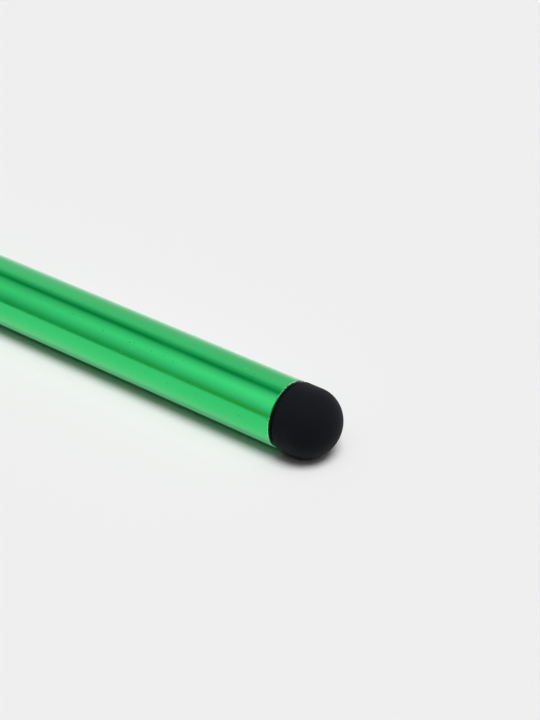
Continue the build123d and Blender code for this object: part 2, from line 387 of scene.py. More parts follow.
@dataclass(frozen=True)
class AnodisedFinish:
    """Dyed and sealed aluminium: a tinted mirror under a clear oxide skin."""

    name: str = "green_anodised"
    dye: Colour = (0.008, 0.625, 0.148)
    faded_dye: Colour = (0.011, 0.645, 0.157)
    edge_dye: Colour = (0.74, 0.95, 0.82)
    pit: Colour = (0.004, 0.24, 0.07)
    pits: Specks = Specks(scale=900.0, share=0.9, radius=0.062)
    mote: Colour = (0.42, 0.78, 0.52)
    motes: Specks = Specks(scale=820.0, share=0.5, radius=0.055)
    roughness: Span = (0.15, 0.21)
    spot_roughness: float = 0.35
    smear_scale: float = 260.0
    skin: float = 0.75
    skin_ior: float = 1.5
    skin_roughness: float = 0.12
    ring_scale: float = 5200.0
    ring_depth: float = 1.2e-8

    def material(self) -> bpy.types.Material:
        """Build the finish's material.

        Returns:
            The material.
        """
        material, wiring = start_material(self.name)
        smears = SHELF.place(wiring, Effect.SMEARS, scale=self.smear_scale)["Value"]
        rings = SHELF.place(wiring, Effect.RINGS, scale=self.ring_scale)["Height"]
        pits = self.pits.mask(wiring)
        motes = self.motes.mask(wiring)
        dyed = wiring.blend(smears, self.dye, self.faded_dye)
        pitted = wiring.blend(pits, dyed, self.pit)
        soft = wiring.spread(smears, WHOLE, self.roughness)
        spots = wiring.math("ADD", pits, motes, clamp=True)
        wiring.surface({
            "Base Color": wiring.blend(motes, pitted, self.mote),
            "Roughness": wiring.math("MULTIPLY_ADD", spots, self.spot_roughness, soft),
            "Metallic": 1.0,
            "Specular Tint": self.edge_dye,
            "Coat Weight": self.skin,
            "Coat IOR": self.skin_ior,
            "Coat Roughness": self.skin_roughness,
            "Normal": wiring.bump(rings, self.ring_depth),
        })
        return material


@dataclass(frozen=True)
class MetalFinish:
    """Bare, plated or turned metal with tool marks, smears and dull spots."""

    name: str
    colour: Colour
    dull: Colour
    roughness: Span
    ring_scale: float
    ring_depth: float
    dull_share: float = 0.3
    specks: Specks = Specks()
    speck_roughness: float = 0.2
    smear_scale: float = 420.0

    def material(self) -> bpy.types.Material:
        """Build the finish's material.

        Returns:
            The material.
        """
        material, wiring = start_material(self.name)
        smears = SHELF.place(wiring, Effect.SMEARS, scale=self.smear_scale)["Value"]
        rings = SHELF.place(wiring, Effect.RINGS, scale=self.ring_scale)["Height"]
        specks = self.specks.mask(wiring)
        spotted = wiring.math("MULTIPLY_ADD", smears, self.dull_share, specks, clamp=True)
        soft = wiring.spread(smears, WHOLE, self.roughness)
        wiring.surface({
            "Base Color": wiring.blend(spotted, self.colour, self.dull),
            "Roughness": wiring.math("MULTIPLY_ADD", specks, self.speck_roughness, soft),
            "Metallic": 1.0,
            "Normal": wiring.bump(rings, self.ring_depth),
        })
        return material


@dataclass(frozen=True)
class MouldedFinish:
    """Moulded plastic or rubber with a fine grain and a few specks of dust."""

    name: str
    colour: Colour
    tired: Colour
    dust: Colour
    roughness: Span
    grain_scale: float = 9000.0
    grain_depth: float = 2e-6
    gloss: float = 0.5
    specks: Specks = Specks(scale=1100.0, share=0.03, radius=0.06)
    slow_contrast: Span = (0.3, 0.7)

    def material(self) -> bpy.types.Material:
        """Build the finish's material.

        Returns:
            The material.
        """
        material, wiring = start_material(self.name)
        grain = SHELF.place(wiring, Effect.GRAIN, scale=self.grain_scale)
        toned = wiring.blend(grain["Value"], self.colour, self.tired)
        wiring.surface({
            "Base Color": wiring.blend(self.specks.mask(wiring), toned, self.dust),
            "Roughness": wiring.spread(grain["Value"], self.slow_contrast, self.roughness),
            "Specular IOR Level": self.gloss,
            "Normal": wiring.bump(grain["Height"], self.grain_depth),
        })
        return material


@dataclass(frozen=True)
class InkFinish:
    """Thick writing ink, glossy, a little darker in its depths."""

    name: str = "ink"
    colour: Colour = (0.008, 0.016, 0.16)
    deep: Colour = (0.004, 0.008, 0.07)
    roughness: Span = (0.08, 0.16)
    smear_scale: float = 900.0

    def material(self) -> bpy.types.Material:
        """Build the finish's material.

        Returns:
            The material.
        """
        material, wiring = start_material(self.name)
        smears = SHELF.place(wiring, Effect.SMEARS, scale=self.smear_scale)["Value"]
        wiring.surface({
            "Base Color": wiring.blend(smears, self.colour, self.deep),
            "Roughness": wiring.spread(smears, WHOLE, self.roughness),
        })
        return material


class FinishRack:
    """All finishes of the pen, each made into a material once."""

    def __init__(self, *finishes: AnodisedFinish | MetalFinish | MouldedFinish | InkFinish) -> None:
        """Hang up the finishes by their names."""
        self.finishes = {finish.name: finish for finish in finishes}
        self.made: dict[str, bpy.types.Material] = {}

    def material(self, name: str) -> bpy.types.Material:
        """Get a finish's material.

        Args:
            name: The finish's name.

        Returns:
            The material, built the first time.
        """
        if name not in self.made:
            self.made[name] = self.finishes[name].material()
        return self.made[name]


RACK = FinishRack(
    AnodisedFinish(),
    InkFinish(),
    MouldedFinish(
        name="touch_rubber",
        colour=(0.0064, 0.0071, 0.0095),
        tired=(0.0076, 0.0083, 0.0109),
        dust=(0.03, 0.031, 0.033),
        roughness=(0.58, 0.66),
        grain_scale=14000.0,
        grain_depth=4e-6,
        gloss=0.08,
    ),
    MouldedFinish(
        name="white_acetal",
        colour=(0.8, 0.8, 0.77),
        tired=(0.74, 0.73, 0.68),
        dust=(0.45, 0.44, 0.4),
        roughness=(0.38, 0.46),
    ),
    MouldedFinish(
        name="dark_acetal",
        colour=(0.045, 0.045, 0.05),
        tired=(0.06, 0.06, 0.063),
        dust=(0.16, 0.16, 0.16),
        roughness=(0.36, 0.44),
    ),
    MetalFinish(
        name="turned_aluminium",
        colour=(0.76, 0.77, 0.78),
        dull=(0.42, 0.43, 0.44),
        roughness=(0.34, 0.46),
        ring_scale=9000.0,
        ring_depth=1.5e-6,
    ),
    MetalFinish(
        name="sawn_aluminium",
        colour=(0.42, 0.42, 0.415),
        dull=(0.1, 0.1, 0.1),
        roughness=(0.42, 0.62),
        ring_scale=16000.0,
        ring_depth=4e-6,
        dull_share=0.8,
        specks=Specks(share=0.25),
        smear_scale=2400.0,
    ),
    MetalFinish(
        name="burred_edge",
        colour=(0.68, 0.7, 0.69),
        dull=(0.1, 0.11, 0.1),
        roughness=(0.3, 0.5),
        ring_scale=12000.0,
        ring_depth=1e-6,
        dull_share=0.8,
        specks=Specks(share=0.1),
        smear_scale=5200.0,
    ),
    MetalFinish(
        name="bright_trim",
        colour=(0.815, 0.805, 0.79),
        dull=(0.64, 0.63, 0.615),
        roughness=(0.07, 0.14),
        ring_scale=4200.0,
        ring_depth=2e-8,
        specks=Specks(share=0.015),
    ),
    MetalFinish(
        name="turned_brass",
        colour=(0.8, 0.6, 0.29),
        dull=(0.5, 0.34, 0.14),
        roughness=(0.26, 0.4),
        ring_scale=7000.0,
        ring_depth=6e-7,
    ),
    MetalFinish(
        name="spring_steel",
        colour=(0.56, 0.56, 0.57),
        dull=(0.36, 0.35, 0.34),
        roughness=(0.24, 0.36),
        ring_scale=5000.0,
        ring_depth=3e-7,
    ),
    MetalFinish(
        name="point_steel",
        colour=(0.7, 0.7, 0.69),
        dull=(0.5, 0.49, 0.47),
        roughness=(0.15, 0.25),
        ring_scale=6000.0,
        ring_depth=2e-7,
    ),
)


def joint(name: str) -> dict[str, Any]:
    """One joint of the frame, by its name."""
    return next(row for row in frame["joints"] if row["name"] == name)


def clip_roll() -> float:
    """Angle of the clip's side about the axis, from the joint that it bends on."""
    across, up = joint("clip_flex")["pos_m"][1:]
    return math.atan2(up, across)


def arc(centre: Point, radius: float, start: float, end: float, steps: int) -> Outline:
    """Points on a circular arc of an outline.

    Args:
        centre: Station and radius of the arc's centre.
        radius: The arc's own radius.
        start: Start angle in degrees, from +X towards the outside.
        end: End angle in degrees.
        steps: How many chords.

    Returns:
        The points in order, both ends included.
    """
    angles = [math.radians(start + (end - start) * i / steps) for i in range(steps + 1)]
    return [(centre[0] + radius * math.cos(a), centre[1] + radius * math.sin(a)) for a in angles]


def bow(first: Point, middle: Point, last: Point, steps: int) -> Outline:
    """Points on the circle through three points of an outline.

    Args:
        first: Where the bow starts.
        middle: A point that it passes through.
        last: Where it ends.
        steps: How many chords.

    Returns:
        The points in order, both ends included.
    """
    a, b, c = (complex(*point) for point in (first, middle, last))
    w = (c - a) / (b - a)
    centre = (b - a) * (w - abs(w) ** 2) / (2j * w.imag) + a
    start, end = (math.degrees(cmath.phase(point - centre)) for point in (a, c))
    sweep = (end - start + HALF_TURN_DEG) % (2 * HALF_TURN_DEG) - HALF_TURN_DEG
    return arc((centre.real, centre.imag), abs(a - centre), start, start + sweep, steps)


def cap(start: float, length: float, radius: float, steps: int) -> Outline:
    """Quarter ellipse from the end of a round wall to the axis.

    Args:
        start: Station where the wall ends.
        length: How far the cap reaches past it.
        radius: The wall's radius.
        steps: How many chords.

    Returns:
        The points in order, with the last one on the axis.
    """
    turns = [math.pi / 2 * i / steps for i in range(steps)]
    return [(start + length * math.sin(t), radius * math.cos(t)) for t in turns] + [(start + length, 0.0)]


def even_angles(count: int) -> list[float]:
    """Evenly spaced angles around the axis, in radians."""
    return [FULL_TURN * i / count for i in range(count)]


def link(name: str, data: bpy.types.ID) -> bpy.types.Object:
    """Put a mesh, lamp or camera into the scene.

    Args:
        name: The new object's name.
        data: What it shows.

    Returns:
        The new object.
    """
    thing = bpy.data.objects.new(name, data)
    bpy.context.scene.collection.objects.link(thing)
    return thing


def patch(work: bmesh.types.BMesh, first: Ring, second: Ring, step: int) -> None:
    """Make one face between two rings, with three corners where one of them is on the axis.

    Args:
        work: The mesh in work.
        first: One ring's points.
        second: The next ring's points.
        step: Which gap between neighbouring points the face fills.
    """
    after = (step + 1) % len(first)
    corners = [first[step], first[after], second[after], second[step]]
    work.faces.new(list(dict.fromkeys(corners)))


def skin(rings: list[list[Vector]]) -> bmesh.types.BMesh:
    """Lay faces over a row of rings, and close both its ends.

    Args:
        rings: The rings' points, as many in each.

    Returns:
        The mesh in work.
    """
    work = bmesh.new()
    rows = [[work.verts.new(point) for point in ring] for ring in rings]
    for first, second in zip(rows, rows[1:]):
        for step in range(len(first)):
            patch(work, first, second, step)
    for end in (rows[0], rows[-1]):
        work.faces.new(end)
    return work


def show(name: str, work: bmesh.types.BMesh, sharp_deg: float = SHARP_DEG) -> bpy.types.Object:
    """Make a piece of a mesh in work, smooth but for its sharp edges.

    Args:
        name: The piece's name.
        work: The mesh in work, which is used up.
        sharp_deg: Edges that turn by more than this stay sharp.

    Returns:
        The new piece.
    """
    bmesh.ops.recalc_face_normals(work, faces=work.faces)
    mesh = bpy.data.meshes.new(name)
    work.to_mesh(mesh)
    work.free()
    mesh.shade_smooth()
    mesh.set_sharp_from_angle(angle=math.radians(sharp_deg))
    return link(name, mesh)


class Lathe:
    """Turns an outline about the pen's axis into a piece."""

    def __init__(self, angles: Sequence[float]) -> None:
        """Set the rising angles of the outline's copies, in radians from +Y towards +Z."""
        self.angles = list(angles)

    def turn(
        self,
        name: str,
        outline: Outline,
        shift: Optional[Shift] = None,
        skip: Optional[Callable[[int, int], bool]] = None,
    ) -> bpy.types.Object:
        """Turn one closed outline, which may touch the axis at its two ends.

        Args:
            name: The new piece's name.
            outline: Points of station and radius, in order.
            shift: Gives a small move of station and radius for a point's number and angle.
            skip: Says which faces stay out, by the outline's chord and the angle's number.
                They leave one hole through the wall, which is then lined.

        Returns:
            The new piece, linked to the scene.
        """
        work = bmesh.new()
        rings = [self._ring(work, number, point, shift) for number, point in enumerate(outline)]
        if outline[0][1] > 0 and outline[-1][1] > 0:
            rings.append(rings[0])
        for chord, (first, second) in enumerate(zip(rings, rings[1:])):
            for step in range(len(self.angles)):
                if not (skip and skip(chord, step)):
                    patch(work, first, second, step)
        if skip:
            bmesh.ops.bridge_loops(work, edges=[edge for edge in work.edges if edge.is_boundary])
        return show(name, work)

    def _ring(self, work: bmesh.types.BMesh, number: int, point: Point, shift: Optional[Shift]) -> Ring:
        """Make the points of one ring, or one point on the axis.

        Args:
            work: The mesh in work.
            number: The outline point's number.
            point: Its station and radius.
            shift: Gives the small moves, if there are any.

        Returns:
            The ring's points, one for each angle.
        """
        station, radius = point
        if radius <= 0:
            return [work.verts.new((station, 0, 0))] * len(self.angles)
        ring = []
        for angle in self.angles:
            along, out = shift(number, angle) if shift else (0.0, 0.0)
            reach = radius + out
            place = (station + along, reach * math.cos(angle), reach * math.sin(angle))
            ring.append(work.verts.new(place))
        return ring


def settle(piece: bpy.types.Object, body: Body, finish: str, *stands_for: str) -> bpy.types.Object:
    """Put a piece on its body, dress it and hide the CAD nodes that it stands for.

    Args:
        piece: The piece, in place.
        body: The body it moves with.
        finish: The finish's name.
        stands_for: CAD nodes that it replaces.

    Returns:
        The same piece.
    """
    if not piece.data.materials:
        piece.data.materials.append(RACK.material(finish))
    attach(piece, body.value)
    if stands_for:
        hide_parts(*stands_for)
    LOG.info("%s: %d faces on %s", piece.name, len(piece.data.polygons), body.value)
    return piece


@dataclass
class TailTube:
    """Bright tube of the tail half: a bare cut rim, a slot for the clip and a broken seam edge."""

    wall: float = TUBE_WALL
    edge: float = TUBE_EDGE
    rim_round: float = 0.12 * MM
    rim_round_steps: int = 5
    rim_support: float = 0.08 * MM
    burr_along: float = 0.02 * MM
    burr_out: float = 0.024 * MM
    burr_deepest: float = -0.35
    burr_pitch: float = 0.5 * MM
    burr_fractal: tuple[float, float, int] = (1.0, 2.0, 3)
    slot_length: float = 1.0 * MM
    slot_width: float = 3.7 * MM
    slot_clear_bays: float = 0.4
    clip_setback: float = CLIP_SETBACK
    steps: int = 288
    bays: int = 40
    dyed_wall_share: float = 0.25
    dyed_slope: float = 0.3
    sawn_slope: float = 0.9

    def __post_init__(self) -> None:
        """Take the tube's ends and radius from its CAD node, and place the slot."""
        low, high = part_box("upper_barrel")
        self.seam, self.rim = low.x, high.x
        self.radius = high.y
        self.bore = self.radius - self.wall
        middle = self.rim - self.clip_setback
        self.slot_ends = (middle - self.slot_length / 2, middle + self.slot_length / 2)
        self.slot_angle = clip_roll()
        self.slot_half = math.asin(self.slot_width / 2 / (self.radius - self.wall / 2))

    def build(self) -> None:
        """Make the tube and dress its skin and its bare cut edges."""
        angles = self._angles()
        outer = self._stations()
        inner = outer[::-1]
        corner = (self.rim - self.rim_round, self.radius - self.rim_round)
        rounded = arc(corner, self.rim_round, 90, 0, self.rim_round_steps)[1:]
        outline = [(self.seam, self.radius - self.edge)]
        outline += [(x, self.radius) for x in outer]
        outline += rounded + [(self.rim, self.bore + self.edge)]
        first_bore = len(outline)
        outline += [(x, self.bore) for x in inner]
        outline += [(self.seam, self.bore + self.edge)]
        rim_edge = range(len(outer), len(outer) + len(rounded))
        start, end = self.slot_ends
        open_chords = (1 + outer.index(start), first_bore + inner.index(end))
        pairs = zip(angles, angles[1:] + angles[:1])
        open_steps = {step for step, (one, two) in enumerate(pairs) if self._in_slot(one, two)}
        piece = Lathe(angles).turn(
            "tail_tube",
            outline,
            shift=lambda number, angle: self._burr(angle) if number in rim_edge else (0.0, 0.0),
            skip=lambda chord, step: chord in open_chords and step in open_steps,
        )
        self._dress(piece)

    def _burr(self, angle: float) -> Point:
        """Ragged bead along the cut rim's outer edge.

        Args:
            angle: Where around the rim.

        Returns:
            How far the edge moves along the pen and outwards.
        """
        around = Vector((math.cos(angle), math.sin(angle), 0.0)) * self.radius / self.burr_pitch
        ragged = noise.fractal(around, *self.burr_fractal)
        return self.burr_along * ragged, self.burr_out * max(ragged, self.burr_deepest)

    def _stations(self) -> list[float]:
        """Stations of the rings along the wall, with the slot's ends among them.

        Returns:
            The stations, rising.
        """
        start, end = self.seam + self.edge, self.rim - self.rim_round
        bay = (end - start) / self.bays
        clear = self.slot_clear_bays * bay
        low, high = self.slot_ends
        plain = [start + bay * i for i in range(self.bays + 1)]
        kept = [x for x in plain if not low - clear < x < high + clear]
        return sorted(kept + [end - self.rim_support, low, high])

    def _angles(self) -> list[float]:
        """Angles around the tube, with the slot's two sides among them.

        Returns:
            The angles, rising.
        """
        angles = even_angles(self.steps)
        for side in (self.slot_angle - self.slot_half, self.slot_angle + self.slot_half):
            wanted = side % FULL_TURN
            nearest = min(range(len(angles)), key=lambda i: abs(angles[i] - wanted))
            angles[nearest] = wanted
        return angles

    def _in_slot(self, first: float, second: float) -> bool:
        """Whether the step between two angles lies in the slot.

        Args:
            first: The step's first angle.
            second: Its second angle.

        Returns:
            Whether its middle is between the slot's sides.
        """
        middle = first + (second - first) % FULL_TURN / 2
        off = (middle - self.slot_angle + math.pi) % FULL_TURN - math.pi
        return abs(off) < self.slot_half

    def _dress(self, piece: bpy.types.Object) -> None:
        """Dye the outer wall and leave the cut faces and the bore bare.

        Args:
            piece: The tube.
        """
        finishes = ("green_anodised", "burred_edge", "sawn_aluminium", "turned_aluminium")
        for finish in finishes:
            piece.data.materials.append(RACK.material(finish))
        dyed_from = self.radius - self.dyed_wall_share * self.wall
        for face in piece.data.polygons:
            slope = abs(face.normal.x)
            if slope > self.sawn_slope:
                finish = "sawn_aluminium"
            elif math.hypot(face.center.y, face.center.z) > dyed_from:
                finish = "green_anodised" if slope < self.dyed_slope else "burred_edge"
            else:
                finish = "turned_aluminium"
            face.material_index = finishes.index(finish)
        settle(piece, Body.TAIL_HALF, "green_anodised", "upper_barrel")


@dataclass
class PocketClip:
    """Sprung strip with a tab through the tube's wall, a pressed channel, a heel and a turned-up lip."""

    width: float = 3.4 * MM
    thickness: float = 0.7 * MM
    length: float = 38.0 * MM
    setback: float = CLIP_SETBACK
    standoff: float = 1.6 * MM
    tab_depth: float = 1.0 * MM
    heel_gap: float = 0.15 * MM
    heel_from_end: float = 3.6 * MM
    ramp: float = 4.2 * MM
    lip_rise: float = 1.0 * MM
    bends: tuple[float, float, float] = (1.2 * MM, 6.0 * MM, 2.4 * MM)
    fewest_bend_steps: int = 4
    corner: float = 0.2 * MM
    corner_steps: int = 4
    channel_width: float = 1.7 * MM
    channel_depth: float = 0.14 * MM
    channel_margin: float = 3.0 * MM
    channel_fade: float = 2.0 * MM
    channel_power: float = 1.5
    channel_steps: int = 16
    end_round: float = 0.9 * MM
    step: float = 0.25 * MM
    weld: float = 0.0002 * MM
    sharp_deg: float = 40.0

    def build(self) -> None:
        """Make the strip along its bent path and dress it."""
        path = self._spaced(self._bent(self._corners()))
        gaps = [(two - one).length for one, two in zip(path, path[1:])]
        run = list(itertools.accumulate(gaps, initial=0.0))
        roll = clip_roll()
        out = Vector((0, math.cos(roll), math.sin(roll)))
        across = Vector((0, -math.sin(roll), math.cos(roll)))
        rings = []
        for i, (point, at) in enumerate(zip(path, run)):
            ahead = (path[min(i + 1, len(path) - 1)] - path[max(i - 1, 0)]).normalized()
            facing = Vector((ahead.y, -ahead.x))
            section = [(side, point + facing * up) for side, up in self._section(at, run[-1] - at)]
            rings.append([ALONG * flat.x + out * flat.y + across * side for side, flat in section])
        work = skin(rings)
        bmesh.ops.remove_doubles(work, verts=work.verts, dist=self.weld)
        piece = show("clip_strip", work, self.sharp_deg)
        settle(piece, Body.CLIP, "bright_trim", "pocket_clip")

    def _corners(self) -> list[Vector]:
        """Find the corners of the strip's path, from the tab's foot to the lip.

        Returns:
            The corners, as station and distance from the axis.
        """
        tube_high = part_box("upper_barrel")[1]
        radius, root = tube_high.y, tube_high.x - self.setback
        middle = radius + self.standoff + self.thickness / 2
        heel = radius + self.heel_gap + self.thickness / 2
        end = root - self.length
        heel_at = end + self.heel_from_end
        return [
            Vector((root, radius - self.tab_depth)),
            Vector((root, middle)),
            Vector((heel_at + self.ramp, middle)),
            Vector((heel_at, heel)),
            Vector((end, heel + self.lip_rise)),
        ]

    def _bent(self, corners: list[Vector]) -> list[Vector]:
        """Round the corners of a path.

        Args:
            corners: The path's corners.

        Returns:
            Points along the rounded path, close together on the bends.
        """
        path = [corners[0]]
        for before, corner, after, bend in zip(corners, corners[1:], corners[2:], self.bends):
            back, on = (before - corner).normalized(), (after - corner).normalized()
            half = back.angle(on) / 2
            reach = bend / math.tan(half)
            centre = corner + (back + on).normalized() * bend / math.sin(half)
            start, stop = corner + back * reach - centre, corner + on * reach - centre
            turn = -start.angle_signed(stop)
            steps = max(self.fewest_bend_steps, round(bend * abs(turn) / self.step))
            path += [centre + Matrix.Rotation(turn * i / steps, 2) @ start for i in range(steps + 1)]
        return path + [corners[-1]]

    def _spaced(self, path: list[Vector]) -> list[Vector]:
        """Fill a path's long straight runs with points.

        Args:
            path: Points along the path.

        Returns:
            The same path with more points.
        """
        filled = [path[0]]
        for one, two in zip(path, path[1:]):
            count = max(1, round((two - one).length / (2 * self.step)))
            filled += [one.lerp(two, i / count) for i in range(1, count + 1)]
        return filled

    def _section(self, at: float, left: float) -> Outline:
        """Draw the strip's section, as places across it and outwards.

        Args:
            at: Distance along the path.
            left: What is left of the path.

        Returns:
            The section's points in order.
        """
        half = self.width / 2
        if left < self.end_round:
            half -= self.end_round - math.sqrt(self.end_round**2 - (self.end_round - left) ** 2)
        reach, rise = half - self.corner, self.thickness / 2 - self.corner
        fade = min(at - self.channel_margin, left - self.heel_from_end - self.ramp) / self.channel_fade
        fade = min(max(fade, 0.0), 1.0)
        deep = self.channel_depth * fade * fade * (3 - 2 * fade)
        bed = min(self.channel_width / 2, reach)
        turns = [math.pi * i / self.channel_steps for i in range(self.channel_steps + 1)]
        sunk = [deep * math.sin(turn) ** self.channel_power for turn in turns]
        channel = [(bed * math.cos(t), self.thickness / 2 - down) for t, down in zip(turns, sunk)]
        places = ((reach, -rise, -90), (reach, rise, 0), (-reach, rise, 90), (-reach, -rise, 180))
        rounds = [arc((x, y), self.corner, turn, turn + 90, self.corner_steps) for x, y, turn in places]
        return rounds[0] + rounds[1] + channel + rounds[2] + rounds[3]


@dataclass
class TouchTip:
    """Hollow rubber tip: a cap that gives under a press, and a neck held in the tube."""

    wall: float = 1.5 * MM
    apex_wall: float = 1.2 * MM
    straight: float = 2.02 * MM
    straight_steps: int = 6
    rim_gap: float = 0.58 * MM
    shoulder_round: float = 0.1 * MM
    shoulder_steps: int = 6
    cap_steps: int = 48
    hollow_steps: int = 24
    neck_radius: float = 3.5 * MM
    neck_bore: float = 2.05 * MM
    neck_lip: float = 2.1 * MM
    steps: int = 192

    def build(self) -> None:
        """Make the cap and the neck and dress both."""
        low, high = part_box("stylus_dome")
        radius, apex = high.y, high.x
        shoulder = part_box("upper_barrel")[1].x + self.rim_gap
        cavity = radius - self.wall
        lathe = Lathe(even_angles(self.steps))
        tip = lathe.turn("touch_cap", self._cap_outline(shoulder, apex, radius, cavity))
        settle(tip, Body.TIP, "touch_rubber", "stylus_dome")
        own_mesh(tip)
        lip = low.x + self.neck_lip
        neck = [(low.x, self.neck_bore), (low.x, self.neck_radius), (shoulder, self.neck_radius)]
        neck += [(shoulder, cavity), (lip, cavity), (lip, self.neck_bore)]
        settle(lathe.turn("touch_neck", neck), Body.TAIL_HALF, "touch_rubber")

    def _cap_outline(self, shoulder: float, apex: float, radius: float, cavity: float) -> Outline:
        """Draw the cap, from the hollow's end around the shoulder to the apex.

        Args:
            shoulder: Station of the shoulder.
            apex: Station of the apex.
            radius: The cap's radius.
            cavity: The hollow's radius.

        Returns:
            The outline's points in order.
        """
        start, end = shoulder + self.shoulder_round, shoulder + self.straight
        length = apex - end
        bay = (end - start) / self.straight_steps
        outline = cap(end, length - self.apex_wall, cavity, self.hollow_steps)[::-1]
        outline += [(shoulder, cavity), (shoulder, (cavity + radius) / 2)]
        corner = (start, radius - self.shoulder_round)
        outline += arc(corner, self.shoulder_round, 180, 90, self.shoulder_steps)
        outline += [(start + bay * i, radius) for i in range(1, self.straight_steps)]
        return outline + cap(end, length, radius, self.cap_steps)


@dataclass
class WritingHalf:
    """Writing half as it shows: its tube, the trim ring at the seam and the screwed nose."""

    wall: float = TUBE_WALL
    edge: float = TUBE_EDGE
    groove_steps: int = 8
    ring_groove_width: float = 0.16 * MM
    ring_groove_depth: float = 0.07 * MM
    ring_groove_shares: Span = (1 / 3, 2 / 3)
    ring_corner: float = 0.15 * MM
    ring_corner_steps: int = 6
    ring_bore: float = 3.27 * MM
    nose_end: float = 1.45 * MM
    nose_lip: float = 0.2 * MM
    nose_lip_steps: int = 8
    nose_belly_share: float = 0.13
    nose_taper_steps: int = 60
    nose_groove_width: float = 0.3 * MM
    nose_groove_depth: float = 0.13 * MM
    nose_groove_share: float = 0.07
    nose_hole: float = 0.85 * MM
    nose_hole_length: float = 2.0 * MM
    nose_throat: float = 2.5 * MM
    nose_bore: float = 1.455 * MM
    thread_radius: float = 2.89 * MM
    thread_depth: float = 0.12 * MM
    thread_pitch: float = 0.5 * MM
    bays: int = 24
    steps: int = 224

    def build(self) -> None:
        """Make and dress the three pieces."""
        lathe = Lathe(even_angles(self.steps))
        pieces = (
            ("writing_tube", self._tube(), "green_anodised", "lower_barrel"),
            ("seam_ring", self._ring(), "bright_trim", "centre_ring"),
            ("screwed_nose", self._nose(), "bright_trim", "nose_cone"),
        )
        for name, outline, finish, node in pieces:
            settle(lathe.turn(name, outline), Body.WRITING_HALF, finish, node)

    def _tube(self) -> Outline:
        """Draw the plain green tube, broken at both edges.

        Returns:
            The outline's points in order.
        """
        low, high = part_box("lower_barrel")
        radius = high.y
        bore = radius - self.wall
        bay = (high.x - low.x - 2 * self.edge) / self.bays
        outline = [(low.x, radius - self.edge)]
        outline += [(low.x + self.edge + bay * i, radius) for i in range(self.bays + 1)]
        return outline + [(high.x, radius - self.edge), (high.x, bore), (low.x, bore)]

    def _groove(self, middle: Point, width: float, depth: float) -> Outline:
        """Draw a round-bottomed groove across an outline that runs towards +X.

        Args:
            middle: Station and radius of the wall at the groove's middle.
            width: How wide the groove is.
            depth: How deep it is.

        Returns:
            The groove's points in order.
        """
        shares = [i / self.groove_steps for i in range(self.groove_steps + 1)]
        start, radius = middle[0] - width / 2, middle[1]
        return [(start + width * share, radius - depth * math.sin(math.pi * share)) for share in shares]

    def _ring(self) -> Outline:
        """Draw the trim ring, with rounded corners and two turned grooves.

        Returns:
            The outline's points in order.
        """
        low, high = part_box("centre_ring")
        radius, corner, steps = high.y, self.ring_corner, self.ring_corner_steps
        outline = arc((low.x + corner, radius - corner), corner, 180, 90, steps)
        for share in self.ring_groove_shares:
            middle = (low.x + (high.x - low.x) * share, radius)
            outline += self._groove(middle, self.ring_groove_width, self.ring_groove_depth)
        outline += arc((high.x - corner, radius - corner), corner, 90, 0, steps)
        return outline + [(high.x, self.ring_bore), (low.x, self.ring_bore)]

    def _nose(self) -> Outline:
        """Draw the nose: a swelling taper, grooved near its base, a threaded spigot and a bore.

        Returns:
            The outline's points in order.
        """
        low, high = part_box("nose_cone")
        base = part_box("lower_barrel")[0].x
        tip, radius, lip = low.x, high.y, self.nose_lip
        belly = (radius + self.nose_end) / 2 + self.nose_belly_share * (radius - self.nose_end)
        start, middle = (tip + lip, self.nose_end), ((base + tip + lip) / 2, belly)
        taper = bow(start, middle, (base, radius), self.nose_taper_steps)
        groove_at = base - self.nose_groove_share * (base - tip)
        foot = min(taper, key=lambda point: abs(point[0] - groove_at))
        half = self.nose_groove_width / 2
        outline = arc((tip + lip, self.nose_end - lip), lip, 180, 90, self.nose_lip_steps)[:-1]
        outline += [point for point in taper if point[0] < foot[0] - half]
        outline += self._groove(foot, self.nose_groove_width, self.nose_groove_depth)
        outline += [point for point in taper if point[0] > foot[0] + half]
        outline += self._thread(base, high.x)
        throat = tip + self.nose_hole_length
        outline += [(high.x, self.nose_bore), (throat + self.nose_throat, self.nose_bore)]
        return outline + [(throat, self.nose_hole), (tip, self.nose_hole)]

    def _thread(self, start: float, end: float) -> Outline:
        """Draw the ridges of the spigot that screws into the barrel.

        Args:
            start: Station of the nose's base.
            end: Station of the spigot's end.

        Returns:
            The ridges' points in order.
        """
        turns = int((end - start) / self.thread_pitch) - 1
        root = self.thread_radius - self.thread_depth
        ridges = [(start, root)]
        for i in range(1, turns + 1):
            foot = start + self.thread_pitch * i
            ridges += [(foot, root), (foot + self.thread_pitch / 2, self.thread_radius)]
        return ridges + [(end, root)]


@dataclass
class FeedSpring:
    """Coil spring around the refill, made at its rest length here, though it shortens as the point comes
    out.
    """

    wire: float = 0.35 * MM
    turns: int = 8
    steps_per_turn: int = 40
    sides: int = 12
    pressed_to: float = 0.552

    def build(self) -> None:
        """Make the coil as one unbroken wire and dress it."""
        low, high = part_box("return_spring")
        thick = self.wire / 2
        first, last = low.x + thick, high.x - thick
        count = self.turns * self.steps_per_turn
        rings = []
        for i in range(count + 1):
            angle = FULL_TURN * i / self.steps_per_turn
            out = Vector((0, math.cos(angle), math.sin(angle)))
            centre = ALONG * (first + (last - first) * i / count) + out * (high.y - thick)
            around = [out * math.cos(side) + ALONG * math.sin(side) for side in even_angles(self.sides)]
            rings.append([centre + way * thick for way in around])
        piece = show("feed_spring", skin(rings))
        settle(piece, Body.WRITING_HALF, "spring_steel", "return_spring")
        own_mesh(piece)


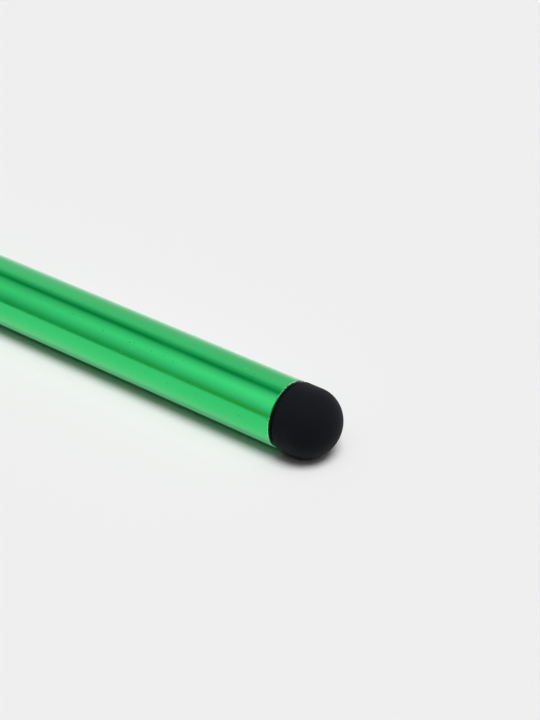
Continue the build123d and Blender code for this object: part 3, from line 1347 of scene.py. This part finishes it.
@dataclass
class KeptPieces:
    """CAD nodes whose shape is right as it is, each with its finish."""

    finishes: dict[str, tuple[str, ...]] = field(
        default_factory=lambda: {
            "turned_aluminium": ("tip_carrier",),
            "white_acetal": ("guide_sleeve", "thrust_washer", "slider"),
            "dark_acetal": ("helix_rotor",),
            "turned_brass": ("coupling_bush", "nose_bush", "refill_tube"),
            "spring_steel": ("retaining_ring", "cross_pin"),
            "point_steel": ("writing_point", "writing_ball"),
            "ink": ("ink_column",),
        }
    )

    def build(self) -> None:
        """Dress every kept node."""
        for finish, names in self.finishes.items():
            for name in names:
                node = frame["nodes"][name]
                node.data.materials.clear()
                node.data.materials.append(RACK.material(finish))
                LOG.info("%s: kept, with %s", name, finish)


def grey(level: float) -> Colour:
    """A plain grey of one level."""
    return (level, level, level)


@dataclass
class Studio:
    """Pale table, soft overhead light, the room that shines in the metal, and the camera.

    The room's stops are angles in degrees about the pen's axis, each with a brightness. A span
    named along is read from a direction's X, and one named turn from its angle about the axis, as
    a share of half a turn.
    """

    paper: float = 0.863
    table_reach: float = 3.0
    # painted glow: shares of an emission mixed into the paper where bright metal sees it, lightening its
    # shadow in reflections
    mirrored_paper_share: float = 0.3
    tint_share: float = 0.85
    bounce_share: float = 0.35
    # painted green light: extra glow share, its colour and its reach beside the dyed tube, seen only in
    # bright metal
    mirrored_under_share: float = 0.25
    painted_green_glow: Colour = (0.28, 0.72, 0.5)
    under_radii: Span = (0.8, 1.15)
    nose_fade_radii: float = 2.0
    rim_fade_radii: float = 0.5
    ambient: float = 0.03
    key_to_front_deg: float = 6.7
    key_to_tip_deg: float = 16.3
    key_share: float = 0.7
    key_spread_deg: float = 29.0
    skirt_share: float = 0.27
    skirt_spread_deg: float = 72.0
    room: tuple[Span, ...] = (
        (0.0, 0.75),
        (20.0, 0.69),
        (52.0, 0.77),
        (64.0, 0.75),
        (71.0, 0.58),
        (79.0, 0.46),
        (84.0, 0.31),
        (88.0, 0.24),
        (92.0, 0.34),
        (100.0, 0.62),
        (112.0, 0.84),
        (124.0, 1.0),
        (134.0, 0.95),
        (150.0, 0.75),
        (162.0, 0.58),
        (173.0, 0.42),
    )
    front_turn: Span = (0.5, 0.66)
    front_along: Span = (-0.66, -0.48)
    front_gain: Span = (0.82, 1.14)
    tip_along: Span = (-0.3, 0.3)
    beyond_tip: Span = (0.85, 0.12)
    across_along: Span = (-0.45, -0.3)
    even_levels: Span = (0.3, 0.7)
    red_shares: Span = (0.08, 1.03)
    blue_shares: Span = (0.7, 1.02)
    warm_edge: Colour = (0.5, 0.46, 0.12)
    warm_turn: Span = (0.9, 0.955)
    warm_along: Span = (-0.66, -0.5)
    warm_shares: Span = (0.0, 0.85)
    lens_mm: float = 79.83
    clip_start: float = 10.0 * MM
    azimuth_deg: float = 37.168
    elevation_deg: float = 33.108
    camera_from_rim: tuple[float, float, float] = (85.866 * MM, -116.839 * MM, 101.722 * MM)

    def build(self) -> None:
        """Set the table, the light, the room and the camera."""
        bpy.context.scene.view_settings.view_transform = "Standard"
        self._table()
        self._key_light()
        self._room()
        self._camera()

    def _table(self) -> None:
        """A flat pale table under the pen."""
        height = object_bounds()[0].z
        reach = self.table_reach
        corners = [(-reach, -reach), (reach, -reach), (reach, reach), (-reach, reach)]
        mesh = bpy.data.meshes.new("table")
        mesh.from_pydata([(x, y, height) for x, y in corners], [], [(0, 1, 2, 3)])
        mesh.materials.append(self._paper())
        table = link("table", mesh)
        table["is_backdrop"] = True

    def _paper(self) -> bpy.types.Material:
        """Matt paper that keeps the pen's shadow; bright metal sees it with a painted glow mixed in, which
        shows paler and lightens that shadow in reflections.

        Returns:
            The material.
        """
        material, wiring = start_material("table_paper")
        seen = wiring.place("ShaderNodeLightPath").outputs
        later = wiring.math("MULTIPLY", seen["Is Glossy Ray"], seen["Diffuse Depth"], clamp=True)
        direct = wiring.blend(later, grey(self.paper), grey(self.paper * self.tint_share))
        thrown_back = grey(self.paper * self.bounce_share)
        inputs = {
            "Base Color": wiring.blend(seen["Is Diffuse Ray"], direct, thrown_back),
            "Roughness": 1.0,
            "Specular IOR Level": 0.0,
        }
        matt = wiring.place("ShaderNodeBsdfPrincipled", inputs)
        # painted glow, mixed in only where bright metal sees the paper
        glow, share = self._glow(wiring, seen)
        mixed = wiring.place("ShaderNodeMixShader", {0: share, 1: matt.outputs[0], 2: glow})
        wiring.place("ShaderNodeOutputMaterial", {"Surface": mixed.outputs[0]})
        return material

    def _glow(self, wiring: Wiring, seen: Sockets) -> tuple[Socket, Socket]:
        """Wire the painted glow that bright metal sees on the paper, painted green under the dyed tube as
        light thrown by the tube.

        Args:
            wiring: The paper's wiring.
            seen: What kind of ray sees the paper, by name.

        Returns:
            The glowing shader and its share.
        """
        parts = wiring.axes()
        tube_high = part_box("upper_barrel")[1]
        radius, rim = tube_high.y, tube_high.x
        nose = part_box("lower_barrel")[0].x
        narrow, wide = self.under_radii
        aside = wiring.math("ABSOLUTE", parts["Y"])
        beside = wiring.spread(aside, (narrow * radius, wide * radius), FALLING, soft=True)
        dyed = wiring.spread(parts["X"], (nose, nose + self.nose_fade_radii * radius), soft=True)
        under = wiring.math("MULTIPLY", beside, dyed)
        # painted green light: the glow turns green beside the dyed tube
        tinted = wiring.blend(under, grey(self.paper), self.painted_green_glow)
        glow = wiring.place("ShaderNodeEmission", {"Color": tinted})
        shares = wiring.math("MULTIPLY_ADD", under, self.mirrored_under_share, self.mirrored_paper_share)
        along = wiring.spread(parts["X"], (rim, rim + self.rim_fade_radii * radius), FALLING)
        first = wiring.spread(seen["Diffuse Depth"], WHOLE, FALLING)
        mirrored = wiring.math("MULTIPLY", seen["Is Glossy Ray"], first)
        share = wiring.math("MULTIPLY", wiring.math("MULTIPLY", shares, along), mirrored)
        return glow.outputs[0], share

    def _key_light(self) -> None:
        """A broad light high overhead, a little towards the tip and the front, with a wider skirt."""
        along = math.sin(math.radians(self.key_to_tip_deg))
        front = math.sin(math.radians(self.key_to_front_deg))
        rise = math.sqrt(1 - along**2 - front**2)
        lamps = {
            "key_light": (self.key_share, self.key_spread_deg),
            "key_skirt": (self.skirt_share, self.skirt_spread_deg),
        }
        for name, (share, spread) in lamps.items():
            lamp = bpy.data.lights.new(name, "SUN")
            lamp.energy = share * math.pi / rise
            lamp.angle = math.radians(spread)
            key = link(name, lamp)
            key.rotation_euler = Vector((along, -front, rise)).to_track_quat("Z", "Y").to_euler()
            key.visible_glossy = False

    def _room(self) -> None:
        """A plain pale world, with the room's panels for what shines."""
        world = bpy.data.worlds.new("room")
        bpy.context.scene.world = world
        world.use_nodes = True
        world.node_tree.nodes.clear()
        wiring = Wiring(world.node_tree)
        seen = wiring.place("ShaderNodeLightPath").outputs
        mirrored = wiring.math("MAXIMUM", seen["Is Glossy Ray"], seen["Is Transmission Ray"])
        thrown = wiring.spread(seen["Diffuse Depth"], WHOLE, (1.0, self.tint_share))
        share = wiring.math("MULTIPLY", mirrored, thrown)
        base = wiring.blend(share, grey(self.ambient), self._panels(wiring))
        colour = wiring.blend(seen["Is Camera Ray"], base, grey(self.paper))
        glow = wiring.place("ShaderNodeBackground", {"Color": colour})
        wiring.place("ShaderNodeOutputWorld", {"Surface": glow.outputs[0]})

    def _panels(self, wiring: Wiring) -> Socket:
        """Light panels and walls of the room, by the angle about the pen's axis.

        Args:
            wiring: The world's wiring.

        Returns:
            The room's colour in a direction.
        """
        parts = wiring.axes("Generated")
        turn = wiring.math("DIVIDE", wiring.math("ARCTAN2", parts["Z"], parts["Y"]), math.pi)
        front = wiring.spread(turn, self.front_turn, soft=True)
        fall_off = wiring.spread(parts["X"], self.front_along, self.front_gain)
        gain = wiring.math("MULTIPLY_ADD", wiring.math("SUBTRACT", fall_off, 1.0), front, 1.0)
        beside = wiring.math("MULTIPLY", self._bands(wiring, turn), gain)
        beyond = wiring.spread(front, WHOLE, self.beyond_tip)
        tipward = wiring.spread(parts["X"], self.tip_along, soft=True)
        level = wiring.math("MULTIPLY_ADD", wiring.math("SUBTRACT", beyond, beside), tipward, beside)
        across = wiring.spread(parts["X"], self.across_along)
        even = wiring.math("ADD", wiring.spread(level, self.even_levels), across, clamp=True)
        red = wiring.math("MULTIPLY", level, wiring.spread(even, WHOLE, self.red_shares))
        blue = wiring.math("MULTIPLY", level, wiring.spread(even, WHOLE, self.blue_shares))
        panels = wiring.place("ShaderNodeCombineColor", {"Red": red, "Green": level, "Blue": blue})
        low_front = wiring.spread(turn, self.warm_turn, soft=True)
        rising = wiring.spread(parts["X"], self.warm_along, self.warm_shares)
        near = wiring.math("SUBTRACT", rising, across, clamp=True)
        return wiring.blend(wiring.math("MULTIPLY", low_front, near), panels.outputs[0], self.warm_edge)

    def _bands(self, wiring: Wiring, turn: Socket) -> Socket:
        """Dark and bright bands of the room beside the pen.

        Args:
            wiring: The world's wiring.
            turn: The angle about the axis, as a share of half a turn.

        Returns:
            The brightness at that angle.
        """
        ramp = wiring.place("ShaderNodeValToRGB", {"Fac": turn})
        stops = ramp.color_ramp.elements
        for angle, _ in self.room[len(stops):]:
            stops.new(angle / HALF_TURN_DEG)
        for stop, (angle, brightness) in zip(stops, self.room):
            stop.position = angle / HALF_TURN_DEG
            stop.color = (*grey(brightness), 1.0)
        return wiring.place("ShaderNodeRGBToBW", {"Color": ramp.outputs["Color"]}).outputs[0]

    def _camera(self) -> None:
        """The photograph's view, past the tail of the pen."""
        data = bpy.data.cameras.new("portrait")
        data.lens = self.lens_mm
        data.clip_start = self.clip_start
        camera = link("portrait", data)
        rim = Vector((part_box("upper_barrel")[1].x, 0.0, 0.0))
        turn, rise = math.radians(self.azimuth_deg), math.radians(self.elevation_deg)
        back = Vector((math.sin(turn) * math.cos(rise), -math.cos(turn) * math.cos(rise), math.sin(rise)))
        camera.location = rim + Vector(self.camera_from_rim)
        camera.rotation_mode = "QUATERNION"
        camera.rotation_quaternion = (-back).to_track_quat("-Z", "Y")
        bpy.context.scene.camera = camera


def main() -> None:
    """Build every sub-assembly in order."""
    logging.basicConfig(level=logging.INFO, format="%(name)s: %(message)s")
    assemblies = (TailTube(), PocketClip(), TouchTip(), WritingHalf(), FeedSpring(), KeptPieces(), Studio())
    for assembly in assemblies:
        assembly.build()


if __name__ == "__main__":
    main()
